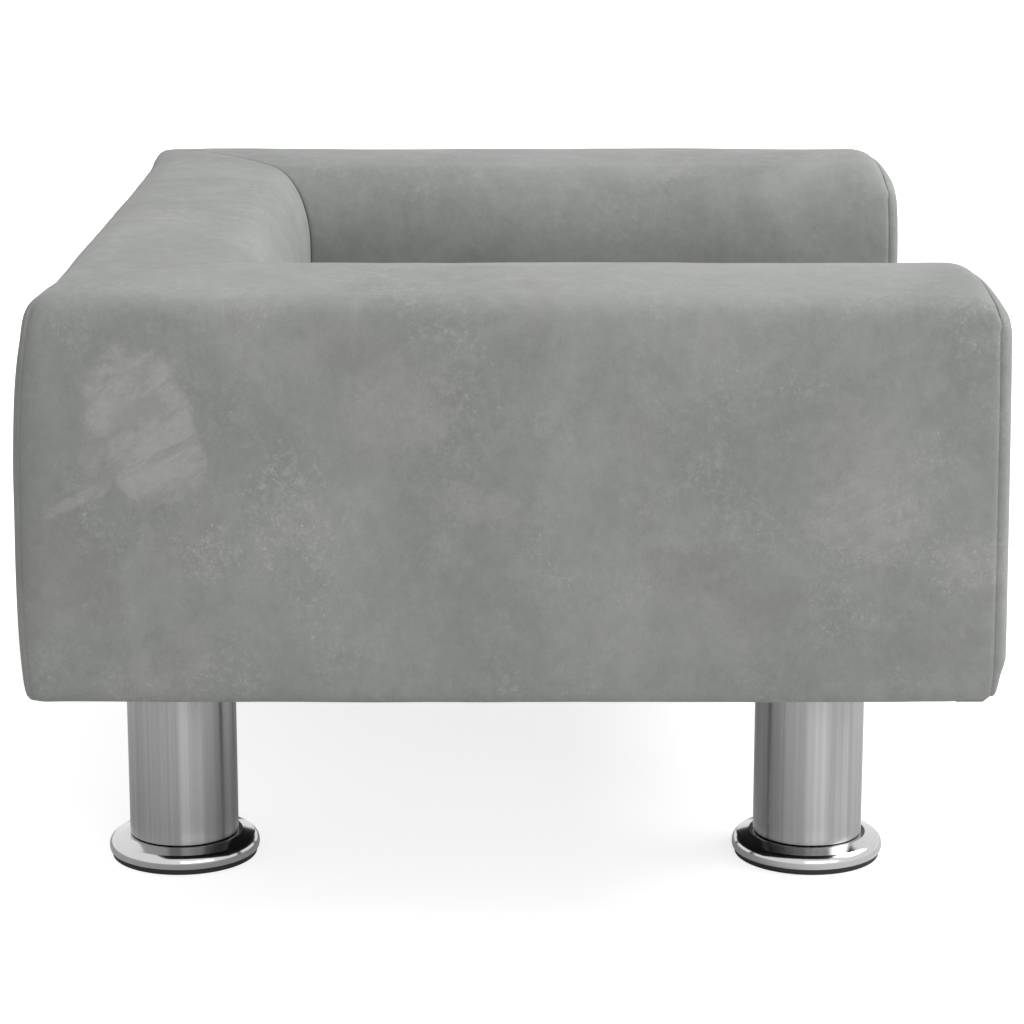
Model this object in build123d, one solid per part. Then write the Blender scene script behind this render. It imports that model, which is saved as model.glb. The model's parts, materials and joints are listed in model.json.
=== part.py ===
from build123d import *
import os
from math import cos, radians

os.makedirs("parts", exist_ok=True)

# Small sofa for a dog or a cat. Millimetres.
# +X runs along the back from the left arm to the right arm, as seen by someone facing the open front.
# -Y is the open front, +Z is up, and the origin is on the floor under the middle of the outline.

# Whole bed
bed_length = 500.0
bed_depth = 400.0
bed_height = 265.0
underside_height = 101.5
arm_thickness = 116.0
back_thickness = 96.0
deck_height = 138.5

# Cloth and padding
cloth = 1.2
dust_cloth = 0.6
side_crown = 3.0
top_crown = 3.0
outer_round = 14.0
inner_round = 28.0
hem_round = 4.0
rear_corner_round = 12.0
rear_corner_standoff = 1.0
hem_width = 25.0
strip_depth = 7.0
strip_round = 6.0
outer_padding = 10.0
inner_padding = 16.0
top_padding = 22.0
front_padding = 10.0
padding_clearance = 0.2
soft_clearance = 0.3

# Front apron between the arms
apron_setback = 4.0
apron_round = 5.0

# Wooden frame
board = 9.0
rail_thickness = 20.0
leg_block_width = 70.0
leg_block_length = 60.0

# Deck screws
screw_head_radius = 3.8
screw_head_height = 2.4
screw_shank_radius = 1.8
screw_depth_share = 0.65
screw_edge_margin = 60.0
screws_per_long_rail = 4
screws_per_side_rail = 2
screw_clearance = 0.1

# Dust cover and its staples
dust_inset = 15.0
dust_stud_clearance = 2.0
staple_crown = 10.0
staple_wire = 0.6
staple_depth_share = 0.14
staple_inset = 6.0
staples_per_long_rail = 9
staples_per_side_rail = 7

# Seat cushion
cushion_side_gap = 2.5
cushion_front_gap = 2.0
cushion_rear_gap = 5.0
cushion_side_height = 46.0
cushion_end_drop = 3.0
cushion_crown = 16.0
cushion_end_crown = 8.0
cushion_corner_round = 22.0
cushion_draw_in = 4.0
cushion_seam_inset = 6.0

# Zip in the rear face of the cushion cover
zip_length_share = 0.65
zip_width = 14.0
zip_proud = 0.8
zip_end_margin = 10.0
slider_length = 9.0
slider_width = 7.0
slider_thickness = 2.0
pull_length = 16.0
pull_width = 4.0
pull_thickness = 1.0

# Legs
leg_inset_side = 116.0
leg_inset_front = 71.5
leg_inset_rear = 53.7
tube_radius = 23.8
tube_wall = 1.2
tube_floor_gap = 10.5
tube_lip_round = 0.5
plug_clearance = 0.05
top_plug_height = 10.0
bottom_plug_height = 14.0
stud_radius = 4.0
stud_end_gap = 2.0

# Tee nuts in the leg blocks
nut_flange_radius = 10.5
nut_flange_thickness = 1.5
nut_barrel_radius = 5.2
nut_barrel_share = 0.445
nut_clearance = 0.2
thread_clearance = 0.05

# Levelling feet
flange_radius = 33.0
flange_shoulder_radius = 25.6
flange_rim_top = 8.6
flange_rim_widest = 4.2
flange_top_gap = 0.3
flange_rim_setback = 2.0
flange_foot_setback = 0.4
stem_radius = 5.0
stem_length = 26.0
pad_radius = 31.8
pad_height = 2.6
pad_edge_round = 0.6
pad_spigot_radius = 12.0
pad_spigot_height = 2.2
pad_play = 0.1
spigot_play = 0.08

# Cuts run past the solid by this much.
overrun = 5.0

half_length = bed_length / 2
half_depth = bed_depth / 2
cover_bottom = underside_height + dust_cloth
frame_bottom = cover_bottom + cloth
deck_bottom = deck_height - board
seat_half_width = half_length - arm_thickness
seat_back_y = half_depth - back_thickness
carcass_side = half_length - cloth - outer_padding
carcass_rear = half_depth - cloth - outer_padding
carcass_front = -half_depth + cloth + front_padding
carcass_top = bed_height - cloth - top_padding
arm_box_inner = seat_half_width + cloth + inner_padding
back_box_front = seat_back_y + cloth + inner_padding
apron_front = -half_depth + apron_setback
apron_half_width = seat_half_width - soft_clearance
screw_length = board + screw_depth_share * (deck_bottom - frame_bottom)
staple_top = frame_bottom + staple_depth_share * (deck_bottom - frame_bottom)
nut_barrel_length = nut_barrel_share * (deck_bottom - nut_flange_thickness - frame_bottom)
leg_x = half_length - leg_inset_side
leg_front_y = -half_depth + leg_inset_front
leg_rear_y = half_depth - leg_inset_rear
legs = {
    "front_left": (-leg_x, leg_front_y),
    "front_right": (leg_x, leg_front_y),
    "rear_left": (-leg_x, leg_rear_y),
    "rear_right": (leg_x, leg_rear_y),
}


def block(low, high):
    """A rectangular block between two opposite corners."""
    size = [high[i] - low[i] for i in range(len(low))]
    centre = [(high[i] + low[i]) / 2 for i in range(len(low))]
    return Pos(*centre) * Box(*size)


def rod(radius, bottom, top, x=0, y=0):
    """An upright cylinder between two heights."""
    return Pos(x, y, (bottom + top) / 2) * Cylinder(radius, top - bottom)


def corner(face, point):
    """The vertex of a face that lies nearest to a point."""
    return face.vertices().sort_by_distance(Vector(*point))[0]


def padded_section(thickness, inset):
    """Section of an arm or of the back, moved in by a distance: its outer side at x = 0, its top crowned."""
    low = cover_bottom + inset
    high = bed_height - inset
    edge_height = high - top_crown
    outer_low = (side_crown + inset, low)
    outer_high = (side_crown + inset, edge_height)
    inner_high = (thickness - inset, edge_height)
    inner_low = (thickness - inset, low)
    outline = [
        ThreePointArc(outer_low, (inset, (low + edge_height) / 2), outer_high),
        ThreePointArc(outer_high, (thickness / 2, high), inner_high),
        Line(inner_high, inner_low),
        Line(inner_low, outer_low),
    ]
    face = make_face(outline)
    face = fillet(corner(face, outer_high), outer_round - inset)
    face = fillet(corner(face, inner_high), inner_round - inset)
    return fillet(corner(face, outer_low), hem_round - inset)


def plan_prism(inset):
    """A tall prism just outside the bed, whose rounded rear corners trim the bed's."""
    side = half_length + rear_corner_standoff - inset
    rear = half_depth + rear_corner_standoff - inset
    outline = Polyline(
        (-side, -half_depth - overrun), (side, -half_depth - overrun), (side, rear), (-side, rear), close=True
    )
    face = make_face(outline)
    for x in (-side, side):
        face = fillet(corner(face, (x, rear)), rear_corner_round - inset)
    return extrude(face, bed_height + overrun)


def mitre_ends(sign):
    """Two points on the mitre line of one rear corner, past the outside and past the inside."""
    outside = (sign * (half_length + arm_thickness), half_depth + back_thickness)
    inside = (sign * (half_length - 2 * arm_thickness), half_depth - 2 * back_thickness)
    return outside, inside


def left_arm_room():
    """The space in front of the left mitre."""
    outside, inside = mitre_ends(-1)
    front = -half_depth - overrun
    face = make_face(Polyline(outside, inside, (inside[0], front), (outside[0], front), close=True))
    return extrude(face, bed_height + overrun)


def back_room():
    """The space behind both mitres."""
    outside_left, inside_left = mitre_ends(-1)
    outside_right, inside_right = mitre_ends(1)
    face = make_face(Polyline(outside_left, inside_left, inside_right, outside_right, close=True))
    return extrude(face, bed_height + overrun)


def left_arm_form(inset):
    """The left arm's outer form, moved in by a distance, with its front edges rounded."""
    section = padded_section(arm_thickness, inset)
    start = Plane((-half_length, half_depth, 0), x_dir=(1, 0, 0), z_dir=(0, -1, 0))
    form = extrude(start * section, bed_depth - inset)
    front_edges = form.faces().sort_by(Axis.Y)[0].edges()
    above_hem = front_edges.filter_by(lambda edge: edge.center().Z > cover_bottom + inset + hem_round)
    form = fillet(above_hem, strip_round - inset)
    return form & plan_prism(inset) & left_arm_room()


def back_form(inset):
    """The back's outer form, moved in by a distance."""
    section = padded_section(back_thickness, inset)
    start = Plane((half_length, half_depth, 0), x_dir=(0, -1, 0), z_dir=(-1, 0, 0))
    form = extrude(start * section, bed_length)
    return form & plan_prism(inset) & back_room()


def base_box():
    """The room of the rails and the deck, which fills the width and depth of the frame."""
    return block(
        (-carcass_side, carcass_front, frame_bottom - overrun), (carcass_side, carcass_rear, deck_height)
    )


def left_arm_box():
    """The room of the left arm's boards, above the deck."""
    return block((-carcass_side, carcass_front, deck_height), (-arm_box_inner, carcass_rear, carcass_top))


def back_box():
    """The room of the back's boards, above the deck."""
    return block((-arm_box_inner, back_box_front, deck_height), (arm_box_inner, carcass_rear, carcass_top))


def mirrored(shape):
    """The right-hand copy of a left-hand piece."""
    return mirror(shape, about=Plane.YZ)


def arm_skin():
    """Velvet round the left arm, cut open underneath inside its hem."""
    skin = left_arm_form(0) - left_arm_form(cloth)
    under = block(
        (-half_length + hem_width, -half_depth + hem_width, cover_bottom - overrun),
        (0, half_depth + overrun, frame_bottom),
    )
    return skin - under


def arm_cover():
    """Velvet on the outer side, top and inner side of the left arm, behind the front seam."""
    seam_y = -half_depth + strip_depth
    behind = block(
        (-half_length - overrun, seam_y, 0), (0, half_depth + overrun, bed_height + overrun)
    )
    below_deck = block(
        (-half_length + arm_thickness / 2, seam_y - overrun, 0), (0, half_depth, deck_height)
    )
    return (arm_skin() & behind) - below_deck


def arm_front_strip():
    """The puffed panel sewn to the front end of the left arm."""
    seam_y = -half_depth + strip_depth
    ahead = block(
        (-half_length - overrun, -half_depth - overrun, 0), (0, seam_y, bed_height + overrun)
    )
    return arm_skin() & ahead


def arm_padding():
    """Foam round the left arm's boards and over the ends of the base."""
    return left_arm_form(cloth + padding_clearance) - base_box() - left_arm_box() - back_box()


def back_cover():
    """Velvet over the back, from the hem at the rear to the deck in front."""
    skin = back_form(0) - back_form(cloth)
    under = block(
        (-half_length - overrun, 0, cover_bottom - overrun),
        (half_length + overrun, half_depth - hem_width, frame_bottom),
    )
    below_deck = block(
        (-half_length - overrun, 0, 0), (half_length + overrun, half_depth - back_thickness / 2, deck_height)
    )
    return skin - under - below_deck


def back_padding():
    """Foam round the boards of the back."""
    solid = back_form(cloth + padding_clearance)
    return solid - base_box() - left_arm_box() - mirrored(left_arm_box()) - back_box()


def arm_boards():
    """The four boards of the left arm's box, each butted to the next."""
    inside_top = carcass_top - board
    outer_face = -carcass_side
    inner_face = -arm_box_inner
    front_back = carcass_front + board
    return {
        "outer_board": block((outer_face, front_back, deck_height), (outer_face + board, carcass_rear, inside_top)),
        "inner_board": block(
            (inner_face - board, front_back, deck_height), (inner_face, carcass_rear - board, inside_top)
        ),
        "front_board": block((outer_face, carcass_front, deck_height), (inner_face, front_back, inside_top)),
        "top_board": block((outer_face, carcass_front, inside_top), (inner_face, carcass_rear, carcass_top)),
    }


def back_boards():
    """The three boards of the back, between the arms."""
    inside_top = carcass_top - board
    outer_reach = carcass_side - board
    return {
        "outer_board": block(
            (-outer_reach, carcass_rear - board, deck_height), (outer_reach, carcass_rear, inside_top)
        ),
        "inner_board": block(
            (-arm_box_inner, back_box_front, deck_height), (arm_box_inner, back_box_front + board, inside_top)
        ),
        "top_board": block(
            (-arm_box_inner, back_box_front, inside_top), (arm_box_inner, carcass_rear, carcass_top)
        ),
    }


def spread(low, high, count):
    """Evenly spaced places from low to high."""
    return [low + (high - low) * i / (count - 1) for i in range(count)]


def screw_places():
    """Places of the screws that hold the deck to the rails."""
    front = carcass_front + rail_thickness / 2
    rear = carcass_rear - rail_thickness / 2
    side = carcass_side - rail_thickness / 2
    reach = carcass_side - screw_edge_margin
    places = [(x, y) for y in (front, rear) for x in spread(-reach, reach, screws_per_long_rail)]
    ends = (carcass_front + screw_edge_margin, carcass_rear - screw_edge_margin)
    places += [(x, y) for x in (-side, side) for y in spread(*ends, screws_per_side_rail)]
    return places


def screw(x, y, clearance):
    """A countersunk screw, or with a clearance the hole that it fills."""
    head = Cone(screw_shank_radius + clearance, screw_head_radius + clearance, screw_head_height)
    head = Pos(x, y, deck_height - screw_head_height / 2) * head
    bottom = deck_height - screw_length - clearance
    return head + rod(screw_shank_radius + clearance, bottom, deck_height - screw_head_height, x, y)


def screw_holes():
    """All the screw holes, as one set of cutters."""
    return [screw(x, y, screw_clearance) for x, y in screw_places()]


def rails():
    """The four rails of the base, drilled for the deck screws."""
    inner_front = carcass_front + rail_thickness
    inner_rear = carcass_rear - rail_thickness
    inner_side = carcass_side - rail_thickness
    plain = {
        "front_rail": block((-carcass_side, carcass_front, frame_bottom), (carcass_side, inner_front, deck_bottom)),
        "rear_rail": block((-carcass_side, inner_rear, frame_bottom), (carcass_side, carcass_rear, deck_bottom)),
        "left_rail": block((-carcass_side, inner_front, frame_bottom), (-inner_side, inner_rear, deck_bottom)),
        "right_rail": block((inner_side, inner_front, frame_bottom), (carcass_side, inner_rear, deck_bottom)),
    }
    return {name: rail - screw_holes() for name, rail in plain.items()}


def seat_deck():
    """The plywood deck that carries the arms, the back and the cushion."""
    deck = block((-carcass_side, carcass_front, deck_bottom), (carcass_side, carcass_rear, deck_height))
    return deck - screw_holes()


def leg_block(x, y):
    """A block behind a rail, bored for the leg's stud and its tee nut."""
    left = x - leg_block_width / 2
    right = x + leg_block_width / 2
    if y < 0:
        near = carcass_front + rail_thickness
        far = near + leg_block_length
    else:
        far = carcass_rear - rail_thickness
        near = far - leg_block_length
    solid = block((left, near, frame_bottom), (right, far, deck_bottom))
    flange_seat = deck_bottom - nut_flange_thickness - nut_clearance
    solid -= rod(stud_radius + nut_clearance, frame_bottom - overrun, deck_bottom, x, y)
    solid -= rod(nut_barrel_radius + nut_clearance, flange_seat - nut_barrel_length, deck_bottom, x, y)
    return solid - rod(nut_flange_radius + nut_clearance, flange_seat, deck_bottom + overrun, x, y)


def tee_nut(x, y):
    """A flanged nut let into the top of a leg block."""
    flange_bottom = deck_bottom - nut_flange_thickness
    barrel_bottom = flange_bottom - nut_barrel_length + nut_clearance
    nut = rod(nut_flange_radius, flange_bottom, deck_bottom, x, y)
    nut += rod(nut_barrel_radius, barrel_bottom, flange_bottom, x, y)
    return nut - rod(stud_radius + thread_clearance, barrel_bottom - overrun, deck_bottom + overrun, x, y)


def dust_cover():
    """Thin black cloth over the underside, with a hole at each stud."""
    side = half_length - dust_inset
    rear = half_depth - dust_inset
    sheet = block((-side, -rear, underside_height), (side, rear, cover_bottom))
    for x, y in legs.values():
        sheet -= rod(stud_radius + dust_stud_clearance, underside_height - overrun, cover_bottom + overrun, x, y)
    return sheet


def staple(x, y, along_x):
    """A staple driven up through the dust cover, with its crown against the cloth."""
    half_crown = staple_crown / 2
    low = underside_height - staple_wire
    half_wire = staple_wire / 2
    shape = block((-half_crown, -half_wire, low), (half_crown, half_wire, underside_height))
    for side in (-1, 1):
        leg_x_centre = side * (half_crown - half_wire)
        shape += block(
            (leg_x_centre - half_wire, -half_wire, low), (leg_x_centre + half_wire, half_wire, staple_top)
        )
    turn = 0 if along_x else 90
    return Pos(x, y, 0) * Rot(0, 0, turn) * shape


def staples():
    """The staples round the edge of the dust cover."""
    side = half_length - dust_inset - staple_inset
    rear = half_depth - dust_inset - staple_inset
    shapes = []
    for x in spread(-side + staple_crown, side - staple_crown, staples_per_long_rail):
        shapes += [staple(x, y, True) for y in (-rear, rear)]
    for y in spread(-rear + 2 * staple_crown, rear - 2 * staple_crown, staples_per_side_rail):
        shapes += [staple(x, y, False) for x in (-side, side)]
    return shapes


def apron_section(inset, rear):
    """Section of the apron and the deck lining, in depth and height."""
    front = apron_front + inset
    low = cover_bottom + inset
    high = deck_height + cloth - inset
    face = make_face(Polyline((front, low), (rear, low), (rear, high), (front, high), close=True))
    for height in (low, high):
        face = fillet(corner(face, (front, height)), apron_round - inset)
    return face


def across_the_seat(face):
    """A section in depth and height, drawn out between the arms."""
    start = Plane((-apron_half_width, 0, 0), x_dir=(0, 1, 0), z_dir=(1, 0, 0))
    return extrude(start * face, 2 * apron_half_width)


def apron_cover():
    """Velvet over the front rail, carried back over the deck under the cushion."""
    rear = seat_back_y - soft_clearance
    skin = across_the_seat(apron_section(0, rear)) - across_the_seat(apron_section(cloth, rear + overrun))
    under = block(
        (-half_length, apron_front + hem_width, 0), (half_length, rear + overrun, frame_bottom)
    )
    return skin - under


def apron_padding():
    """Foam between the front rail and the apron's velvet."""
    solid = across_the_seat(apron_section(cloth + padding_clearance, seat_back_y))
    return solid - base_box() - block((-half_length, carcass_front, 0), (half_length, half_depth, bed_height))


cushion_half_width = seat_half_width - cushion_side_gap
cushion_front = apron_front + cushion_front_gap
cushion_rear = seat_back_y - cushion_rear_gap
cushion_bottom = deck_height + cloth + soft_clearance
cushion_middle_y = (cushion_front + cushion_rear) / 2


def cushion_outline(inset, height):
    """A rectangle with rounded corners whose sides draw in between them, at one height."""
    half_x = cushion_half_width - inset
    half_y = (cushion_rear - cushion_front) / 2 - inset
    round_off = cushion_corner_round - inset
    knee_step = round_off * cos(radians(45))
    edges = []
    for turn in range(4):
        reach, side = (half_x, half_y) if turn % 2 == 0 else (half_y, half_x)
        start = Vector(reach, -side + round_off)
        middle = Vector(reach - cushion_draw_in, 0)
        end = Vector(reach, side - round_off)
        knee = Vector(reach - round_off + knee_step, side - round_off + knee_step)
        after = Vector(reach - round_off, side)
        points = [point.rotate(Axis.Z, 90 * turn) for point in (start, middle, end, knee, after)]
        edges.append(ThreePointArc(points[0], points[1], points[2]))
        edges.append(ThreePointArc(points[2], points[3], points[4]))
    return Pos(0, cushion_middle_y, height) * make_face(edges)


def cushion_slice(y, rim, crown, inset):
    """Section of the cushion's room at one depth, with its crowned top."""
    side = cushion_half_width + overrun
    low = cushion_bottom + inset
    outline = [
        Line((-side, low), (side, low)),
        Line((side, low), (side, rim - inset)),
        ThreePointArc((side, rim - inset), (0, rim + crown - inset), (-side, rim - inset)),
        Line((-side, rim - inset), (-side, low)),
    ]
    return Plane((0, y, 0), x_dir=(1, 0, 0), z_dir=(0, -1, 0)) * make_face(outline)


def cushion_form(inset):
    """A crowned cushion with puffed sides that draw in between its corners, flat below."""
    low = cushion_bottom + inset
    middle_rim = cushion_bottom + cushion_side_height
    end_rim = middle_rim - cushion_end_drop
    room = loft(
        [
            cushion_slice(cushion_front - overrun, end_rim, cushion_end_crown, inset),
            cushion_slice(cushion_middle_y, middle_rim, cushion_crown, inset),
            cushion_slice(cushion_rear + overrun, end_rim, cushion_end_crown, inset),
        ]
    )
    barrel = loft(
        [
            cushion_outline(inset + cushion_seam_inset, low - overrun),
            cushion_outline(inset, cushion_bottom + cushion_side_height / 2),
            cushion_outline(inset + cushion_seam_inset, middle_rim + overrun),
        ]
    )
    top_cap = extrude(cushion_outline(inset + cushion_seam_inset, middle_rim + overrun), cushion_crown)
    return room & (barrel + top_cap)


zip_length = 2 * cushion_half_width * zip_length_share
zip_height = cushion_bottom + cushion_side_height / 2
zip_face_y = cushion_rear - cushion_draw_in + zip_proud + cushion_draw_in / 2


def zip_tape():
    """The closed zip with its tape, sewn into the rear face of the cushion cover."""
    tape = block(
        (-zip_length / 2, cushion_rear - 2 * cushion_draw_in, zip_height - zip_width / 2),
        (zip_length / 2, zip_face_y, zip_height + zip_width / 2),
    )
    return tape - cushion_form(0)


def zip_slider():
    """The zip's slider with its pull, parked at the closed end."""
    x = -zip_length / 2 + zip_end_margin
    face = zip_face_y + soft_clearance
    body = block(
        (x - slider_length / 2, face, zip_height - slider_width / 2),
        (x + slider_length / 2, face + slider_thickness, zip_height + slider_width / 2),
    )
    pull = block(
        (x, face + slider_thickness - pull_thickness, zip_height - pull_width / 2),
        (x + pull_length, face + slider_thickness, zip_height + pull_width / 2),
    )
    return body + pull


def leg_tube():
    """A chrome tube, open at both ends."""
    tube = rod(tube_radius, tube_floor_gap, underside_height)
    tube -= rod(tube_radius - tube_wall, tube_floor_gap - overrun, underside_height + overrun)
    rim = tube.edges().filter_by(GeomType.CIRCLE).filter_by(lambda edge: edge.radius > tube_radius - tube_wall / 2)
    return fillet(rim.sort_by(Axis.Z)[0], tube_lip_round)


def top_plug():
    """The plug pressed into the top of a tube, with the stud that screws into the tee nut."""
    radius = tube_radius - tube_wall - plug_clearance
    plug = rod(radius, underside_height - top_plug_height, underside_height)
    return plug + rod(stud_radius, underside_height, deck_bottom - stud_end_gap)


def bottom_plug():
    """The plug pressed into the bottom of a tube, tapped for the levelling stem."""
    radius = tube_radius - tube_wall - plug_clearance
    top = tube_floor_gap + bottom_plug_height
    plug = rod(radius, tube_floor_gap, top)
    return plug - rod(stem_radius + thread_clearance, tube_floor_gap - overrun, top + overrun)


def foot_flange():
    """The turned chrome flange with its levelling stem."""
    bottom = pad_height + pad_play
    top = tube_floor_gap - flange_top_gap
    recess_radius = pad_spigot_radius + spigot_play
    recess_top = pad_height + pad_spigot_height + pad_play
    rim_low = (flange_radius - flange_foot_setback, bottom)
    rim_out = (flange_radius, flange_rim_widest)
    rim_high = (flange_radius - flange_rim_setback, flange_rim_top)
    outline = [
        Line((recess_radius, bottom), rim_low),
        ThreePointArc(rim_low, rim_out, rim_high),
        Line(rim_high, (flange_shoulder_radius, top)),
        Line((flange_shoulder_radius, top), (stem_radius, top)),
        Line((stem_radius, top), (stem_radius, top + stem_length)),
        Line((stem_radius, top + stem_length), (0, top + stem_length)),
        Line((0, top + stem_length), (0, recess_top)),
        Line((0, recess_top), (recess_radius, recess_top)),
        Line((recess_radius, recess_top), (recess_radius, bottom)),
    ]
    return revolve(Plane.XZ * make_face(outline), Axis.Z)


def rubber_pad():
    """The rubber sole, with a spigot that holds it in the flange."""
    pad = rod(pad_radius, 0, pad_height)
    rim = pad.edges().filter_by(GeomType.CIRCLE).sort_by(Axis.Z)[0]
    pad = fillet(rim, pad_edge_round)
    return pad + rod(pad_spigot_radius, pad_height, pad_height + pad_spigot_height)


def write(name, shape):
    """Writes one sub-part, or a group of like fasteners, under its own name."""
    shape.label = name
    export_step(shape, f"parts/{name}.step")


def group(shapes):
    """Separate solids kept together in one sub-part."""
    return Compound(children=[shape for shape in shapes])


# Base
for rail_name, rail in rails().items():
    write(rail_name, rail)
write("seat_deck", seat_deck())
for place, (x, y) in legs.items():
    write(f"{place}_leg_block", leg_block(x, y))
write("tee_nuts", group([tee_nut(x, y) for x, y in legs.values()]))
write("deck_screws", group([screw(x, y, 0) for x, y in screw_places()]))
write("dust_cover", dust_cover())
write("dust_cover_staples", group(staples()))

# Arms
for board_name, arm_board in arm_boards().items():
    write(f"left_arm_{board_name}", arm_board)
    write(f"right_arm_{board_name}", mirrored(arm_board))
for piece_name, arm_piece in (
    ("padding", arm_padding()),
    ("cover", arm_cover()),
    ("front_strip", arm_front_strip()),
):
    write(f"left_arm_{piece_name}", arm_piece)
    write(f"right_arm_{piece_name}", mirrored(arm_piece))

# Back
for board_name, back_board in back_boards().items():
    write(f"back_{board_name}", back_board)
write("back_padding", back_padding())
write("back_cover", back_cover())

# Apron
write("apron_padding", apron_padding())
write("apron_cover", apron_cover())

# Cushion
write("cushion_cover", cushion_form(0) - cushion_form(cloth))
write("cushion_core", cushion_form(cloth + padding_clearance))
write("cushion_zip", zip_tape())
write("zip_slider", zip_slider())

# Legs
for place, (x, y) in legs.items():
    write(f"{place}_leg_tube", Pos(x, y, 0) * leg_tube())
    write(f"{place}_leg_top_plug", Pos(x, y, 0) * top_plug())
    write(f"{place}_leg_bottom_plug", Pos(x, y, 0) * bottom_plug())
    write(f"{place}_foot_flange", Pos(x, y, 0) * foot_flange())
    write(f"{place}_foot_pad", Pos(x, y, 0) * rubber_pad())
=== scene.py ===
import json
import math

import bmesh
import bpy
import numpy as np
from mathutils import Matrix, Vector, noise
from mathutils.bvhtree import BVHTree


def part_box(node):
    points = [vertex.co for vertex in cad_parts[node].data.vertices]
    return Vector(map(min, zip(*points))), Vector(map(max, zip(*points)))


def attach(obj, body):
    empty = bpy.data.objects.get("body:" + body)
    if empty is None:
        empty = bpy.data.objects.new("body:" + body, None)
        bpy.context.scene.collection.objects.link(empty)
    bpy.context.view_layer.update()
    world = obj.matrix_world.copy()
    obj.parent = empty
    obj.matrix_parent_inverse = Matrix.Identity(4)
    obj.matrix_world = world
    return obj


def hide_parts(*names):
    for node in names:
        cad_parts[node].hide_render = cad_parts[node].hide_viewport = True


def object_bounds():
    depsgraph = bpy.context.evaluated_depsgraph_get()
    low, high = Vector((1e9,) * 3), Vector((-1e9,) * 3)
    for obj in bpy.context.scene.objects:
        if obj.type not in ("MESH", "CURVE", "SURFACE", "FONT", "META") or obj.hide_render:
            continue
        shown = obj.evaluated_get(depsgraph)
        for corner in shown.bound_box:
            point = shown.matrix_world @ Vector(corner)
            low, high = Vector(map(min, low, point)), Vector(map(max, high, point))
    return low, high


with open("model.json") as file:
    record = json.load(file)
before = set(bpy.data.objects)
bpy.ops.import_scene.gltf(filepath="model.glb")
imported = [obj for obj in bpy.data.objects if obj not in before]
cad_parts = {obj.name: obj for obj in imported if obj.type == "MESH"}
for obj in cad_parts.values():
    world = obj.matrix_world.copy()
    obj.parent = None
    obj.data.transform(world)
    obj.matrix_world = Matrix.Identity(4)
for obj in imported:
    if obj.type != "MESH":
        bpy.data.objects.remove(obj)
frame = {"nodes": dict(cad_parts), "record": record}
cad_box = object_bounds()

# Boxes of the CAD nodes that the soft pieces follow, in metres
strip_low, strip_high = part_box("left_arm_front_strip")
back_low, back_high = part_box("back_cover")
cushion_low, cushion_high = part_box("cushion_cover")
apron_low, apron_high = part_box("apron_cover")
dust_low, dust_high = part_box("dust_cover")
zip_low, zip_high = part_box("cushion_zip")
rail_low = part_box("front_rail")[0]

# The padding stands a little above its solids
PUFF = 0.0038

HALF_LENGTH = -strip_low.x
HALF_DEPTH = back_high.y
TOP = strip_high.z + PUFF
BOTTOM = strip_low.z
ARM = strip_high.x - strip_low.x
BACK = back_high.y - back_low.y
LINING = apron_high.z

# Outline of the arms and the back, in metres
ARM_MIDDLE = 0.055
TOP_CROWN = 0.0045
SIDE_CROWN_LOWER = 0.0034
BOTTOM_BULGE = 0.0015
INNER_ROLL = (0.027, 0.038)
LINING_TUCK = 0.001
HEM_ROUND = 0.004
HEM_WIDTH = 0.025
HEM_RISE = 0.0002
CORNER_ROUND = 0.012
LEAN = 0.0012
OUTLINE_POINTS = 165
ARM_ROWS = 96
BACK_ROWS = 120

# Front edge of the arms
FRONT = -0.1955
EDGE_REACH = 0.0055
EDGE_WIDTH = 0.008
TOP_EDGE_REACH = 0.016
TOP_EDGE_WIDTH = 0.014
TOP_EDGE_TURNED = 0.003
BOTTOM_EDGE_SETBACK = 0.0006
BOTTOM_EDGE_WIDTH = 0.024
FRONT_LIFT = 0.0013
FRONT_LIFT_START = 0.167
FRONT_LIFT_LENGTH = 0.022
INNER_TURN = 0.001
PANEL_BULGE = 0.0007
PANEL_BULGE_REACH = 0.03
PANEL_ROWS = (0, 0.0003, 0.0007, 0.0012, 0.002, 0.003, 0.0042, 0.0056, 0.0072, 0.009)
PANEL_MIDDLE_ROWS = (0.011, 0.035, 13)
FLAP_EDGE = 0.0008
FLAP_BEHIND_RAIL_FACE = 0.0023
FLAP_UNDER_DUST_CLOTH = 0.009

# Heights over which one shape passes into the next
TOP_BLEND = (0.016, 0.001)
BOTTOM_BLEND = 0.014
LIFT_BLEND = 0.03
BULGE_BLEND = (0.24, 0.16)

# Lengths from a mitre seam over which the corner's outline passes into the arm's or the back's
ARM_BLEND = 0.07
BACK_BLEND = 0.06

# Seams, and swells of the padding as pairs of height and size
SEAM_DEPTH = 0.0010
MITRE_DEPTH = 0.0005
SEAM_REACH = 0.0009
SEAM_TUCK = 0.004
SEAM_ROWS = (0, 0.0003, 0.0007, 0.0012, 0.002, 0.0032, 0.005, 0.008)
LARGE_SWELL = (0.0006, 0.075)
SMALL_SWELL = (0.00022, 0.022)
SWELL_FADE = 0.02
SEED = 7

# Front apron
APRON_SETBACK = 0.004
APRON_TUCK = 0.0025
APRON_ROUND = 0.005
APRON_CROWN = 0.0016
APRON_SWELL = (0.0005, 0.05)
APRON_SWELL_FADE = (0.03, 0.01)
APRON_CLEARANCE = 0.0001
APRON_EDGE = 0.001
APRON_BEFORE_RAIL = 0.0006


def smooth(a, b, x):
    """Smooth step from 0 at a to 1 at b."""
    t = np.clip((x - a) / (b - a), 0, 1)
    return t * t * (3 - 2 * t)


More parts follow.
